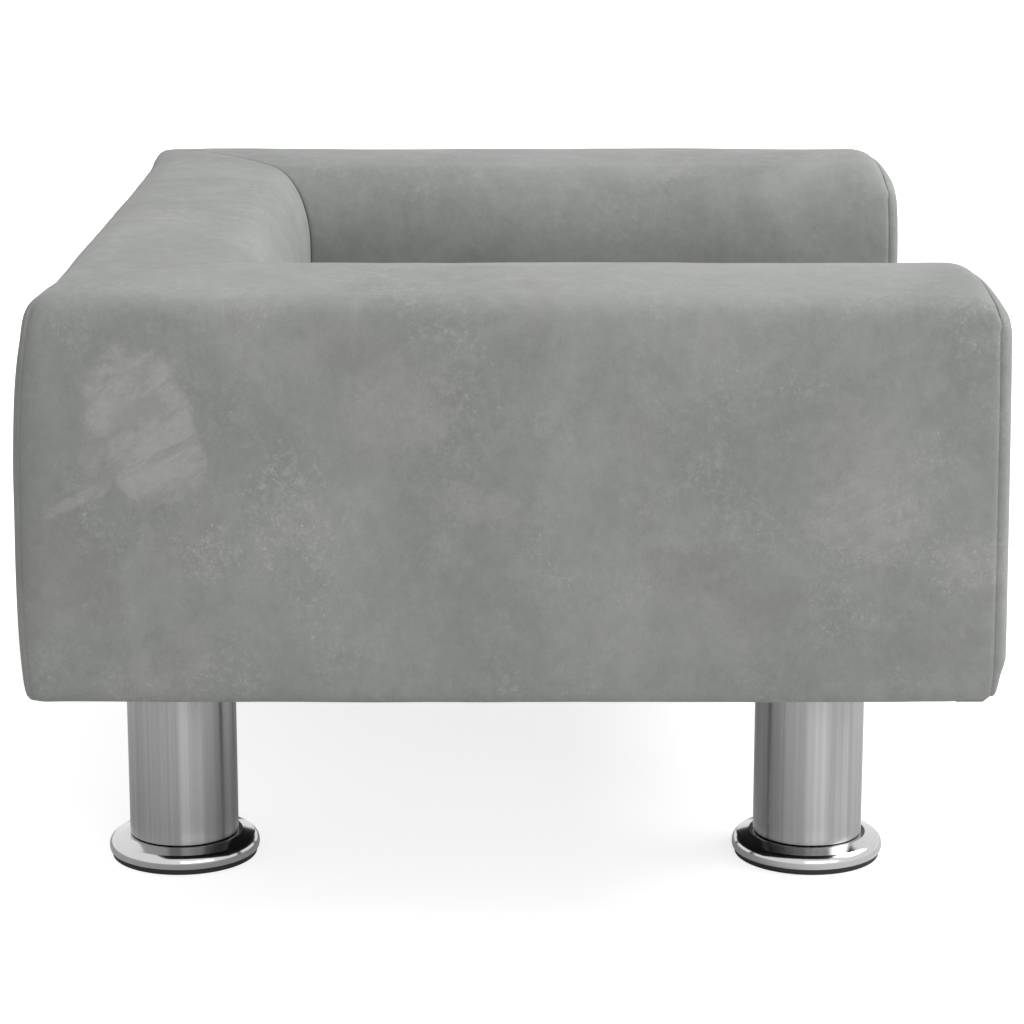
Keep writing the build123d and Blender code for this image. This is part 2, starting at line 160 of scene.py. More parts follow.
def resample(points, count):
    """The same line with evenly spaced points."""
    points = np.array(points, float)
    lengths = np.r_[0, np.cumsum(np.linalg.norm(np.diff(points, axis=0), axis=1))]
    even = np.linspace(0, lengths[-1], count)
    return np.stack([np.interp(even, lengths, column) for column in points.T], axis=1)


def arc(centre, radii, start, end, count=24):
    """Points of an elliptical arc between two angles in degrees."""
    angles = np.radians(np.linspace(start, end, count))
    across = centre[0] + radii[0] * np.cos(angles)
    up = centre[1] + radii[1] * np.sin(angles)
    return np.stack([across, up], axis=1)


def section(crown_high, outer_roll):
    """Outline of an arm, from its hem up and over to the foot of its inner face.

    Its points are pairs of depth from the outer side and height.
    """
    side_low = BOTTOM - BOTTOM_BULGE + HEM_ROUND
    side_high = TOP - TOP_CROWN - outer_roll[1]
    heights = np.linspace(side_low, side_high, 60)
    share = (heights - (side_low + side_high) / 2) / ((side_high - side_low) / 2)
    crown = np.where(share > 0, crown_high, SIDE_CROWN_LOWER)
    side = np.stack([crown * np.abs(share) ** 3, heights], axis=1)
    roll_end = crown_high + outer_roll[0]
    inner_start = ARM - INNER_ROLL[0]
    depths = np.linspace(roll_end, inner_start, 40)
    share = (depths - ARM_MIDDLE) / ARM_MIDDLE
    top = np.stack([depths, TOP - TOP_CROWN * share ** 2], axis=1)
    outer_top = top[0, 1]
    inner_top = top[-1, 1]
    outline = np.concatenate([
        [
            (HEM_WIDTH, BOTTOM + HEM_RISE),
            ((HEM_WIDTH + HEM_ROUND) / 2, BOTTOM - HEM_RISE),
        ],
        arc((SIDE_CROWN_LOWER + HEM_ROUND, side_low), (HEM_ROUND, HEM_ROUND), 270, 180),
        side,
        arc((roll_end, side_high), (outer_roll[0], outer_top - side_high), 180, 90),
        top,
        arc((inner_start, inner_top - INNER_ROLL[1]), INNER_ROLL, 90, 0),
        [(ARM, LINING - LINING_TUCK)],
    ])
    outline = resample(outline, OUTLINE_POINTS)
    for _ in range(3):
        outline[1:-1] = (outline[:-2] + 2 * outline[1:-1] + outline[2:]) / 4
    return outline


def outward(outline):
    """Unit normals of an outline that runs up the outer side and down the inner one."""
    along = np.gradient(outline, axis=0)
    along /= np.linalg.norm(along, axis=1)[:, None]
    return np.stack([-along[:, 1], along[:, 0]], axis=1)


def rounded_corner(points):
    """Rounds the bed's two rear corners in plan, by turning squares into circles."""
    side = np.sign(points[..., 0])
    q = CORNER_ROUND - (HALF_LENGTH - np.abs(points[..., 0]))
    p = CORNER_ROUND - (HALF_DEPTH - points[..., 1])
    inside = (q > 0) & (p > 0)
    scale = np.where(inside, np.maximum(q, p) / np.maximum(np.hypot(q, p), 1e-9), 1)
    out = points.copy()
    out[..., 0] = np.where(inside, side * (HALF_LENGTH - CORNER_ROUND + q * scale), points[..., 0])
    out[..., 1] = np.where(inside, HALF_DEPTH - CORNER_ROUND + p * scale, points[..., 1])
    return out


def normals_of(grid):
    """Unit normals of a grid of points."""
    across = np.gradient(grid, axis=0)
    along = np.gradient(grid, axis=1)
    normal = np.cross(across, along)
    return normal / np.maximum(np.linalg.norm(normal, axis=2), 1e-12)[..., None]


def unevenness(points, size, seed):
    """Smooth noise at each point, about -1 to 1, for swells of a given size."""
    shift = Vector((seed * 3.1, seed * 1.7, seed * 0.9))
    flat = points.reshape(-1, 3)
    values = np.array([noise.noise(Vector(p) / size + shift) for p in flat])
    return values.reshape(points.shape[:-1])


def mesh_piece(name, vertices, faces, material):
    """A smooth mesh object."""
    mesh = bpy.data.meshes.new(name)
    mesh.from_pydata([tuple(v) for v in vertices], [], faces)
    mesh.update()
    mesh.shade_smooth()
    piece = bpy.data.objects.new(name, mesh)
    bpy.context.scene.collection.objects.link(piece)
    mesh.materials.append(material)
    return piece


def grid_faces(grid, close=False, flip=False, start=0):
    """Faces between a grid's points, which are numbered from a start."""
    rows, columns = grid.shape[:2]
    faces = []
    for i in range(rows - 1):
        near = start + i * columns
        far = near + columns
        for j in range(columns if close else columns - 1):
            k = (j + 1) % columns
            face = (near + j, far + j, far + k, near + k)
            faces.append(face[::-1] if flip else face)
    return faces


def grid_piece(name, grid, material, close=False, flip=False):
    """A mesh object from a grid of points."""
    return mesh_piece(name, grid.reshape(-1, 3), grid_faces(grid, close, flip), material)


def seam_rows(length, count):
    """Distances along a panel, closer together near its two seams."""
    near = np.array(SEAM_ROWS)
    length = np.asarray(length, float)[None, :]
    middle = np.linspace(0, 1, count)[1:-1, None] * (length - 2 * near[-1]) + near[-1]
    first = np.repeat(near[:, None], length.shape[1], axis=1)
    return np.concatenate([first, middle, length - first[::-1]], axis=0)


def sewn(grid, distance, seed, sign, depth=MITRE_DEPTH):
    """Swells a panel a little and draws it in at its seams, with a tucked row past each."""
    normal = normals_of(grid) * sign
    large = LARGE_SWELL[0] * unevenness(grid, LARGE_SWELL[1], seed)
    small = SMALL_SWELL[0] * unevenness(grid, SMALL_SWELL[1], seed + 1)
    swell = (large + small) * smooth(0, SWELL_FADE, distance)
    groove = depth * np.exp(-distance / SEAM_REACH)
    grid = grid + normal * (swell - groove)[..., None]
    first = grid[:1] - normal[:1] * SEAM_TUCK
    last = grid[-1:] - normal[-1:] * SEAM_TUCK
    return np.concatenate([first, grid, last], axis=0)


# Each outline's crown of the outer side, and depth and height of the roll above it
corner_outline = section(0.0055, (0.012, 0.010))
arm_outline = section(0.0035, (0.0065, 0.0055))
back_outline = section(0.0060, (0.024, 0.015))


def upward(height):
    """How much a height belongs to the top, whose front edge turns further back than the sides'."""
    return smooth(TOP - TOP_BLEND[0], TOP - TOP_BLEND[1], height)


def downward(height):
    """How much a height belongs to the bottom edge."""
    return smooth(BOTTOM + BOTTOM_BLEND, BOTTOM, height)


def lifted(height):
    """How much a height takes part in the rise of the front's bottom edge."""
    return smooth(BOTTOM + LIFT_BLEND, BOTTOM, height)


def strip_shape(up, down):
    """Shape of the front edge: its base place, the part already turned at the seam, its width."""
    base = FRONT + EDGE_REACH + up * (TOP_EDGE_REACH - EDGE_REACH) + down * BOTTOM_EDGE_SETBACK
    turned = up * TOP_EDGE_TURNED
    width = EDGE_WIDTH + up * (TOP_EDGE_WIDTH - EDGE_WIDTH) + down * BOTTOM_EDGE_WIDTH
    return base, turned, width


def front_place(up, down, moved):
    """How far forward the front edge has come where its outline has moved in by a distance."""
    base, turned, width = strip_shape(up, down)
    left = np.clip(1 - (moved + turned) / width, 0, 1)
    return base + (FRONT - base) * np.sqrt(1 - left ** 2)


def front_drop(y, up):
    """How far the top has come down on its way to the front."""
    turned = np.clip((FRONT + TOP_EDGE_REACH - y) / TOP_EDGE_REACH, 0, 1)
    return up * TOP_EDGE_WIDTH * (1 - np.sqrt(1 - turned ** 2))


def front_rise(y, low):
    """How far the bottom edge has come up on its way to the front."""
    return FRONT_LIFT * low * np.clip((-FRONT_LIFT_START - y) / FRONT_LIFT_LENGTH, 0, 1) ** 2


def leaning(grid):
    """Lets the front and the rear lean out a little toward the bottom."""
    share = 1 - 2 * (grid[..., 2] - BOTTOM) / (TOP - BOTTOM)
    grid = grid.copy()
    grid[..., 1] += LEAN * share * np.clip(grid[..., 1] / HALF_DEPTH, -1, 1)
    return grid


def arm_grid(side):
    """Points of one arm's cover, from its front seam to its mitre seam with the back."""
    height = arm_outline[:, 1]
    seam = front_place(upward(height), downward(height), 0)
    end = HALF_DEPTH - corner_outline[:, 0] * BACK / ARM
    distance = seam_rows(end - seam, ARM_ROWS)
    left = (end - seam)[None, :] - distance
    share = smooth(0, ARM_BLEND, left)[..., None]
    shape = corner_outline[None] * (1 - share) + arm_outline[None] * share
    y = seam[None, :] + distance
    z = shape[..., 1] - front_drop(y, upward(height)) + front_rise(y, lifted(height))
    grid = rounded_corner(np.stack([(shape[..., 0] - HALF_LENGTH) * -side, y, z], axis=2))
    nearest = np.minimum(distance, left)
    depth = np.where(distance < left, SEAM_DEPTH, MITRE_DEPTH)
    return leaning(sewn(grid, nearest, SEED + side, side, depth))


def back_grid():
    """Points of the back's cover, from one mitre seam to the other."""
    start = -HALF_LENGTH + corner_outline[:, 0]
    distance = seam_rows(-2 * start, BACK_ROWS)
    nearest = np.minimum(distance, -2 * start[None, :] - distance)
    share = smooth(0, BACK_BLEND, nearest)[..., None]
    shape = corner_outline[None] * (1 - share) + back_outline[None] * share
    y = HALF_DEPTH - shape[..., 0] * BACK / ARM
    grid = rounded_corner(np.stack([start[None, :] + distance, y, shape[..., 1]], axis=2))
    return leaning(sewn(grid, nearest, SEED + 5, -1))


def strip_grid(side):
    """Points of the puffed panel on one arm's front, ring by ring from its seam to its middle."""
    inner = resample([(ARM, LINING - LINING_TUCK), (ARM, BOTTOM + INNER_TURN)], 14)[1:]
    turn = arc((ARM - INNER_TURN, BOTTOM + INNER_TURN), (INNER_TURN, INNER_TURN), 0, -90, 5)[1:]
    under = resample([(ARM - INNER_TURN, BOTTOM), (HEM_WIDTH, BOTTOM + HEM_RISE)], 34)[1:-1]
    ring = np.concatenate([arm_outline, inner, turn, under])
    closed = np.concatenate([ring[-2:], ring, ring[:2]])
    normal = outward(closed)[2:-2]
    up = upward(ring[:, 1])
    down = downward(ring[:, 1])
    seam = front_place(up, down, 0)
    height = ring[:, 1] - front_drop(seam, up) + front_rise(seam, lifted(ring[:, 1]))
    spine_low = BOTTOM + ARM / 2
    spine_high = TOP - ARM / 2
    spine = np.stack([np.full(len(ring), ARM / 2), np.clip(height, spine_low, spine_high)], axis=1)
    start = np.stack([ring[:, 0], height], axis=1)
    reach = np.linalg.norm(spine - start, axis=1)
    moved = np.concatenate([PANEL_ROWS, np.linspace(*PANEL_MIDDLE_ROWS)])
    inmost = np.linspace(moved[-1], ARM / 2, 8)[1:, None] / (ARM / 2)
    shares = np.concatenate([moved[:, None] / reach[None, :], np.repeat(inmost, len(ring), axis=1)])
    shares = np.minimum(np.maximum.accumulate(shares, axis=0), 1)
    inward = shares * reach[None, :]
    point = start[None] + (spine - start)[None] * shares[..., None]
    bulge = PANEL_BULGE * smooth(*BULGE_BLEND, point[..., 1])
    y = front_place(up[None, :], down[None, :], inward)
    y -= bulge * smooth(0, PANEL_BULGE_REACH, inward)
    groove = SEAM_DEPTH * np.exp(-inward / SEAM_REACH)
    point = point - normal[None] * groove[..., None]
    grid = np.stack([(point[..., 0] - HALF_LENGTH) * -side, y, point[..., 1]], axis=2)
    tuck = grid[:1].copy()
    tuck[0, :, 0] += normal[:, 0] * side * SEAM_TUCK
    tuck[0, :, 2] -= normal[:, 1] * SEAM_TUCK
    tuck[0, :, 1] += SEAM_TUCK / 2
    flap = (np.arange(len(ring)) >= len(arm_outline)) | (ring[:, 1] < BOTTOM + FLAP_EDGE)
    tuck[0, flap, 0] = (ring[flap, 0] - HALF_LENGTH) * -side
    tuck[0, flap, 1] = rail_low.y + FLAP_BEHIND_RAIL_FACE
    tuck[0, flap, 2] = ring[flap, 1]
    under_cloth = tuck.copy()
    under_cloth[0, flap, 1] = dust_low.y + FLAP_UNDER_DUST_CLOTH
    return leaning(np.concatenate([under_cloth, tuck, grid]))


def apron_grid():
    """Points of the front apron and the lining under the cushion."""
    front = FRONT + APRON_SETBACK
    low = BOTTOM + HEM_RISE
    turn = (APRON_ROUND, APRON_ROUND)
    face = np.linspace(low + APRON_ROUND, LINING - APRON_ROUND, 16)
    share = (face - face.mean()) / (face[-1] - face.mean())
    profile = np.concatenate([
        [(front + HEM_WIDTH, low)],
        arc((front + APRON_ROUND, low + APRON_ROUND), turn, 270, 180, 10),
        np.stack([front - APRON_CROWN * (1 - share ** 2), face], axis=1),
        arc((front + APRON_ROUND, LINING - APRON_ROUND), turn, 180, 90, 10),
        [(apron_high.y, LINING)],
    ])
    profile = resample(profile, 120)
    reach = -apron_low.x - APRON_CLEARANCE
    inner = reach - APRON_EDGE
    x = np.concatenate([[-reach], np.linspace(-inner, inner, 90), [reach]])
    grid = np.zeros((len(x), len(profile), 3))
    grid[..., 0] = x[:, None]
    grid[..., 1] = profile[None, :, 0]
    grid[..., 2] = profile[None, :, 1]
    normal = normals_of(grid)
    swell = APRON_SWELL[0] * unevenness(grid, APRON_SWELL[1], SEED + 9)
    swell *= smooth(front + APRON_SWELL_FADE[0], front + APRON_SWELL_FADE[1], grid[..., 1])
    forward = np.sign(1e-9 - normal[..., 1])
    grid = grid + normal * (swell * forward)[..., None]
    ends = grid[[0, -1]]
    ends[..., 0] *= 1 + APRON_TUCK / reach
    ends[..., 1] = np.maximum(ends[..., 1], rail_low.y - APRON_BEFORE_RAIL)
    return np.concatenate([ends[:1], grid, ends[1:]])


# Materials
class Tree:
    """Builds a material's nodes with short calls."""

    def __init__(self, name):
        self.material = bpy.data.materials.new(name)
        self.material.use_nodes = True
        self.nodes = self.material.node_tree.nodes
        self.links = self.material.node_tree.links
        self.shader = self.nodes["Principled BSDF"]
        self.place = self.node("ShaderNodeTexCoord").outputs["Object"]

    def node(self, kind, **settings):
        """A new node with its settings."""
        made = self.nodes.new(kind)
        for key, value in settings.items():
            setattr(made, key, value)
        return made

    def feed(self, socket, value):
        """Links a socket to another one, or sets it to a value."""
        if isinstance(value, bpy.types.NodeSocket):
            self.links.new(value, socket)
        else:
            socket.default_value = value

    def stretched(self, scale, turn=(0, 0, 0), shift=(0, 0, 0), place=None):
        """Coordinates that are scaled, turned and shifted."""
        mapping = self.node("ShaderNodeMapping")
        self.feed(mapping.inputs["Vector"], place or self.place)
        mapping.inputs["Scale"].default_value = scale
        mapping.inputs["Rotation"].default_value = turn
        mapping.inputs["Location"].default_value = shift
        return mapping.outputs["Vector"]

    def noise(self, scale, detail=3.0, rough=0.5, distort=0.0, place=None):
        """Noise with about so many spots a metre."""
        made = self.node("ShaderNodeTexNoise")
        self.feed(made.inputs["Vector"], place or self.place)
        made.inputs["Scale"].default_value = scale
        made.inputs["Detail"].default_value = detail
        made.inputs["Roughness"].default_value = rough
        made.inputs["Distortion"].default_value = distort
        return made.outputs["Fac"]

    def ramp(self, value, low, high, to_low=0.0, to_high=1.0, soft=True):
        """A value from one range carried over to another."""
        kind = "SMOOTHSTEP" if soft else "LINEAR"
        made = self.node("ShaderNodeMapRange", interpolation_type=kind)
        self.feed(made.inputs["Value"], value)
        made.inputs["From Min"].default_value = low
        made.inputs["From Max"].default_value = high
        made.inputs["To Min"].default_value = to_low
        made.inputs["To Max"].default_value = to_high
        return made.outputs["Result"]

    def maths(self, operation, a, b=0.0):
        """The result of one operation on two values."""
        made = self.node("ShaderNodeMath", operation=operation)
        self.feed(made.inputs[0], a)
        self.feed(made.inputs[1], b)
        return made.outputs[0]

    def mixed(self, share, a, b, blend="MIX"):
        """Colour a with a share of colour b."""
        made = self.node("ShaderNodeMix", data_type="RGBA", blend_type=blend)
        self.feed(made.inputs[0], share)
        self.feed(made.inputs[6], a)
        self.feed(made.inputs[7], b)
        return made.outputs[2]

    def touched(self, colour, mask, strength, tone):
        """A colour with a tone laid over it where a mask says."""
        return self.mixed(self.maths("MULTIPLY", mask, strength), colour, tone)

    def bump(self, height, strength, distance, below=None):
        """A relief, on top of the one below if there is one."""
        made = self.node("ShaderNodeBump")
        self.feed(made.inputs["Height"], height)
        made.inputs["Strength"].default_value = strength
        made.inputs["Distance"].default_value = distance
        if below is not None:
            self.feed(made.inputs["Normal"], below)
        return made.outputs["Normal"]

    def near(self, centre, radii, turn=0.0, ragged=0.4, grain=75.0, edge=0.3):
        """A patch with ragged edges in the plane of an arm's side, 1 inside and 0 outside."""
        place = self.stretched((0, 1, 1), shift=(0, -centre[0], -centre[1]))
        place = self.stretched((1, 1, 1), turn=(turn, 0, 0), place=place)
        place = self.stretched((1, 1 / radii[0], 1 / radii[1]), place=place)
        split = self.node("ShaderNodeSeparateXYZ")
        self.links.new(place, split.inputs[0])
        cubes = [
            self.maths("POWER", self.maths("ABSOLUTE", split.outputs[k]), 3.0) for k in (1, 2)
        ]
        length = self.maths("POWER", self.maths("ADD", *cubes), 0.333)
        wobble = self.ramp(self.noise(grain, 6, 0.7, 0.6), 0.3, 0.7, -ragged, ragged, soft=False)
        return self.ramp(self.maths("ADD", length, wobble), 0.95 + edge, 0.95 - edge)

    def finish(self, colour, rough, bump=None, **constants):
        """Sets the shader's colour, roughness, relief and constants, and gives the material."""
        self.feed(self.shader.inputs["Base Color"], colour)
        self.feed(self.shader.inputs["Roughness"], rough)
        if bump is not None:
            self.links.new(bump, self.shader.inputs["Normal"])
        for key, value in constants.items():
            self.shader.inputs[key.replace("_", " ")].default_value = value
        return self.material


def grey(level, warmth=0.0):
    """A nearly neutral linear colour."""
    return (level * (1 + warmth), level, level * (1 - warmth), 1)


MARK_TONES = {
    "pale": (0.362, 0.356, 0.344, 1),
    "dark": (0.226, 0.226, 0.216, 1),
    "warm": (0.228, 0.216, 0.212, 1),
}


def velvet(name, marks=(), speckled=()):
    """Light grey crushed velvet: soft clouds, brushed marks, pale specks and a fine nap."""
    t = Tree(name)
    clouds = t.ramp(t.noise(9, 4, 0.55, 0.6), 0.36, 0.66)
    drift = t.ramp(t.noise(24, 6, 0.66, 1.2, t.stretched((1, 1, 0.7), shift=(3, 1, 2))), 0.44, 0.70)
    colour = t.mixed(clouds, (0.236, 0.245, 0.236, 1), (0.276, 0.284, 0.274, 1))
    colour = t.touched(colour, drift, 0.42, (0.318, 0.322, 0.308, 1))
    brush = t.noise(1, 5, 0.7, 0.9, t.stretched((26, 90, 26), turn=(0.75, 0, 0)))
    lines = t.noise(1, 5, 0.7, 0.9, t.stretched((26, 26, 90), turn=(0.55, 0, 0), shift=(4, 2, 6)))
    swept = t.maths("MULTIPLY", t.ramp(brush, 0.52, 0.72), t.ramp(lines, 0.42, 0.66))
    colour = t.touched(colour, swept, 0.34, (0.350, 0.348, 0.333, 1))
    warm = t.ramp(t.noise(15, 3, 0.5, 0.3, t.stretched((1, 1, 1), shift=(7, 4, 9))), 0.60, 0.74)
    colour = t.touched(colour, warm, 0.6, (0.236, 0.226, 0.222, 1))
    slanted = t.stretched((1, 1, 1), turn=(0.60, 0, 0))
    streaks = t.noise(1, 6, 0.72, 0.6, t.stretched((60, 34, 130), place=slanted))
    for tone, centre, radii, turn, strength in marks:
        if strength > 0.7:
            patch = t.near(centre, radii, turn, 0.16, 90.0, 0.17)
        else:
            patch = t.near(centre, radii, turn)
        brushed = t.maths("MULTIPLY", patch, t.ramp(streaks, 0.38, 0.56, 0.45, 1.0))
        colour = t.touched(colour, brushed, strength, MARK_TONES[tone])
    specks = t.ramp(t.noise(560, 3, 0.65), 0.60, 0.70)
    flocks = t.noise(20, 4, 0.6, 0.5, t.stretched((1, 1, 1), shift=(2, 8, 5)))
    gathered = t.ramp(flocks, 0.44, 0.66, 0.10, 1.0)
    for centre, radii in speckled:
        flock = t.maths("MULTIPLY", t.near(centre, radii, 0.4, 0.7, 110.0), 1.5)
        gathered = t.maths("MAXIMUM", gathered, flock)
    mottle = t.maths("MULTIPLY", t.ramp(t.noise(330, 5, 0.75, 0.6), 0.46, 0.64), gathered)
    specks = t.maths("MULTIPLY", specks, gathered)
    colour = t.touched(colour, mottle, 0.55, (0.334, 0.338, 0.326, 1))
    colour = t.touched(colour, specks, 0.50, (0.43, 0.43, 0.41, 1))
    grit = t.ramp(t.noise(150, 6, 0.75, 0.4), 0.3, 0.7, 0.93, 1.07, False)
    nap = t.noise(2400, 2, 0.6)
    rib = t.noise(1, 2, 0.5, 0, t.stretched((1500, 1500, 320)))
    fine = t.ramp(nap, 0.25, 0.75, 0.93, 1.07, False)
    fine = t.maths("ADD", fine, t.ramp(rib, 0.3, 0.7, -0.018, 0.018, False))
    grain = t.maths("MULTIPLY", fine, grit)
    shade = t.node("ShaderNodeCombineColor")
    for socket in shade.inputs[:3]:
        t.links.new(grain, socket)
    colour = t.mixed(1.0, colour, shade.outputs[0], "MULTIPLY")
    rough = t.ramp(clouds, 0, 1, 0.93, 0.80)
    relief = t.bump(t.noise(46, 4, 0.6, 0.5), 0.35, 0.0012)
    relief = t.bump(nap, 0.35, 0.00022, relief)
    return t.finish(
        colour, rough, relief, Sheen_Weight=0.18, Sheen_Roughness=0.40, Specular_IOR_Level=0.18
    )


def foam():
    """Pale open-cell foam."""
    t = Tree("foam")
    cells = t.noise(900, 3, 0.6)
    colour = t.mixed(t.ramp(cells, 0.3, 0.7), (0.62, 0.56, 0.40, 1), (0.82, 0.78, 0.62, 1))
    return t.finish(colour, t.ramp(cells, 0, 1, 0.95, 0.85), t.bump(cells, 0.6, 0.0006))


def non_woven():
    """Thin black spun cloth with its grid of tiny welded points."""
    t = Tree("dust_cloth")
    fibres = t.noise(1, 3, 0.7, 1.5, t.stretched((900, 260, 900)))
    cells = t.node("ShaderNodeTexVoronoi", feature="F1")
    t.feed(cells.inputs["Vector"], t.stretched((620, 620, 620), turn=(0, 0, 0.78)))
    cells.inputs["Scale"].default_value = 1
    cells.inputs["Randomness"].default_value = 0.1
    points = t.ramp(cells.outputs["Distance"], 0.16, 0.30)
    colour = t.mixed(t.maths("MULTIPLY", fibres, points), grey(0.006), grey(0.019))
    relief = t.bump(t.maths("MULTIPLY", points, fibres), 0.5, 0.0003)
    return t.finish(colour, t.ramp(fibres, 0.3, 0.7, 0.9, 0.75), relief, Specular_IOR_Level=0.25)


def woven_tape():
    """Grey tape with a slanted weave."""
    t = Tree("zip_tape")
    weave = t.node("ShaderNodeTexWave", wave_type="BANDS", bands_direction="DIAGONAL")
    t.feed(weave.inputs["Vector"], t.place)
    weave.inputs["Scale"].default_value = 420
    weave.inputs["Distortion"].default_value = 0.6
    bands = weave.outputs["Fac"]
    colour = t.mixed(bands, grey(0.15), grey(0.24))
    return t.finish(colour, t.ramp(bands, 0, 1, 0.9, 0.7), t.bump(bands, 0.4, 0.0003))


def metal(name, level, rough, scale=(60, 60, 900), warmth=0.0, marks=0.02):
    """Metal whose gloss varies along fine drawn or polished lines."""
    t = Tree(name)
    lines = t.noise(1, 4, 0.6, 0, t.stretched(scale))
    haze = t.noise(18, 3, 0.6, 0.4)
    dull = grey(level * (1 - 3 * marks), warmth)
    colour = t.mixed(t.ramp(haze, 0.35, 0.7), grey(level, warmth), dull)
    drawn = t.ramp(lines, 0.3, 0.7, rough, rough + marks, False)
    gloss = t.maths("ADD", drawn, t.ramp(haze, 0.4, 0.8, 0, marks))
    return t.finish(colour, gloss, t.bump(lines, 0.04, 0.00005), Metallic=1.0)


def drawn_tube():
    """Chrome on a drawn tube, whose fine lines spread what it mirrors up and down, and whose colour
    carries broad darker vertical bands as a painted reflection.
    """
    t = Tree("chrome_tube")
    lines = t.noise(1, 4, 0.65, 0, t.stretched((260, 260, 0.6)))
    painted_reflection_bands = t.noise(1, 2, 0.5, 0, t.stretched((90, 90, 0.3), shift=(5, 2, 0)))
    haze = t.noise(30, 3, 0.6, 0.4)
    level = t.mixed(t.ramp(lines, 0.38, 0.62), grey(0.36), grey(0.44))
    # Painted reflection: broad darker vertical bands in the colour stand in for dark stripes of the
    # surroundings that the chrome mirrors
    level = t.mixed(t.ramp(painted_reflection_bands, 0.52, 0.66, 0, 0.5), level, grey(0.31))
    tangent = t.node("ShaderNodeTangent", direction_type="RADIAL", axis="Z")
    t.links.new(tangent.outputs[0], t.shader.inputs["Tangent"])
    rough = t.ramp(haze, 0.3, 0.7, 0.27, 0.30)
    return t.finish(level, rough, None, Metallic=1.0, Anisotropic=0.95, Anisotropic_Rotation=0.25)


def wood(name, pale, dark, stretch, ring):
    """Raw wood with growth rings and pores."""
    t = Tree(name)
    rings = t.node("ShaderNodeTexWave", wave_type="BANDS", bands_direction="Z", wave_profile="SAW")
    t.feed(rings.inputs["Vector"], t.stretched(stretch))
    rings.inputs["Scale"].default_value = ring
    rings.inputs["Distortion"].default_value = 5
    rings.inputs["Detail"].default_value = 3
    rings.inputs["Detail Scale"].default_value = 1.2
    pores = t.noise(1, 4, 0.6, 0, t.stretched((40, 900, 900)))
    colour = t.mixed(rings.outputs["Fac"], pale, dark)
    deep = (dark[0] * 0.6, dark[1] * 0.55, dark[2] * 0.5, 1)
    colour = t.mixed(t.ramp(pores, 0.5, 0.75, 0, 0.5), colour, deep)
    return t.finish(colour, t.ramp(pores, 0.3, 0.7, 0.7, 0.85), t.bump(pores, 0.4, 0.0004))


def moulded(name, level, rough, grain=700.0):
    """Black plastic or rubber with a fine moulded grain and a little dust."""
    t = Tree(name)
    skin = t.noise(grain, 3, 0.5)
    dust = t.ramp(t.noise(40, 5, 0.65), 0.5, 0.8)
    colour = t.touched(grey(level), dust, 0.5, grey(level * 2.2))
    rough = t.ramp(dust, 0, 1, rough, rough + 0.15)
    return t.finish(colour, rough, t.bump(skin, 0.25, 0.00015), Specular_IOR_Level=0.4)


# Brushed marks on the near arm's side: tone, centre, radii, turn and strength
NEAR_MARKS = (
    ("pale", (0.146, 0.216), (0.0205, 0.0315), 0.34, 0.78),
    ("dark", (0.149, 0.220), (0.012, 0.006), 0.60, 0.45),
    ("pale", (0.172, 0.187), (0.014, 0.0026), 0.45, 0.45),
    ("pale", (0.166, 0.212), (0.004, 0.018), -0.15, 0.30),
    ("pale", (0.048, 0.222), (0.024, 0.018), 0.50, 0.24),
    ("pale", (0.017, 0.185), (0.022, 0.007), -0.20, 0.30),
    ("pale", (-0.130, 0.200), (0.018, 0.030), 0.34, 0.22),
    ("pale", (-0.139, 0.178), (0.020, 0.017), 0.34, 0.46),
    ("pale", (-0.181, 0.161), (0.012, 0.010), 0.00, 0.35),
    ("warm", (-0.071, 0.157), (0.019, 0.011), 0.00, 0.55),
    ("pale", (0.136, 0.120), (0.020, 0.012), 0.60, 0.22),
)
# Places on it where pale specks gather: centre and radii
NEAR_SPECKS = (
    ((0.091, 0.181), (0.017, 0.022)),
    ((-0.181, 0.161), (0.015, 0.012)),
    ((0.120, 0.165), (0.012, 0.012)),
)
MATERIALS = {
    "velvet": velvet("velvet"),
    "foam": foam(),
    "dust_cloth": non_woven(),
    "zip_tape": woven_tape(),
    "zip_metal": metal("zip_metal", 0.42, 0.34),
    "plywood": wood("plywood", (0.62, 0.45, 0.26, 1), (0.46, 0.30, 0.16, 1), (8, 8, 260), 1.0),
    "pine": wood("pine", (0.72, 0.53, 0.31, 1), (0.55, 0.35, 0.17, 1), (2, 60, 60), 1.0),
    "zinc_steel": metal("zinc_steel", 0.55, 0.30, (300, 300, 300), 0.02, 0.05),
    "chrome": metal("chrome", 0.66, 0.10, (40, 40, 700), 0.0, 0.03),
    "plug_plastic": moulded("plug_plastic", 0.012, 0.45),
    "rubber": moulded("rubber", 0.018, 0.62),
}
near_velvet = velvet("velvet_near_arm", NEAR_MARKS, NEAR_SPECKS)
tube_chrome = drawn_tube()

for part in frame["record"]["subparts"]:
    drawn = part["node"].endswith("leg_tube")
    node = frame["nodes"][part["node"]]
    node.data.materials.clear()
    node.data.materials.append(tube_chrome if drawn else MATERIALS[part["material_slot"]])


# Arms and back
def settle(piece, body, slot_name, *nodes):
    """Puts a piece on its body and hides the CAD nodes that it stands for; the slot name it is
    given is not used.
    """
    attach(piece, body)
    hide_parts(*nodes)


ARMS = (("left_arm", -1, near_velvet), ("right_arm", 1, MATERIALS["velvet"]))
for arm, side, cloth_material in ARMS:
    mirrored = side == -1
    cover = grid_piece(f"{arm}_upholstery", arm_grid(side), cloth_material, flip=mirrored)
    settle(cover, "frame", "velvet", f"{arm}_cover", f"{arm}_padding")
    strip = grid_piece(
        f"{arm}_front_panel", strip_grid(side), cloth_material, close=True, flip=mirrored
    )
    settle(strip, "frame", "velvet", f"{arm}_front_strip")

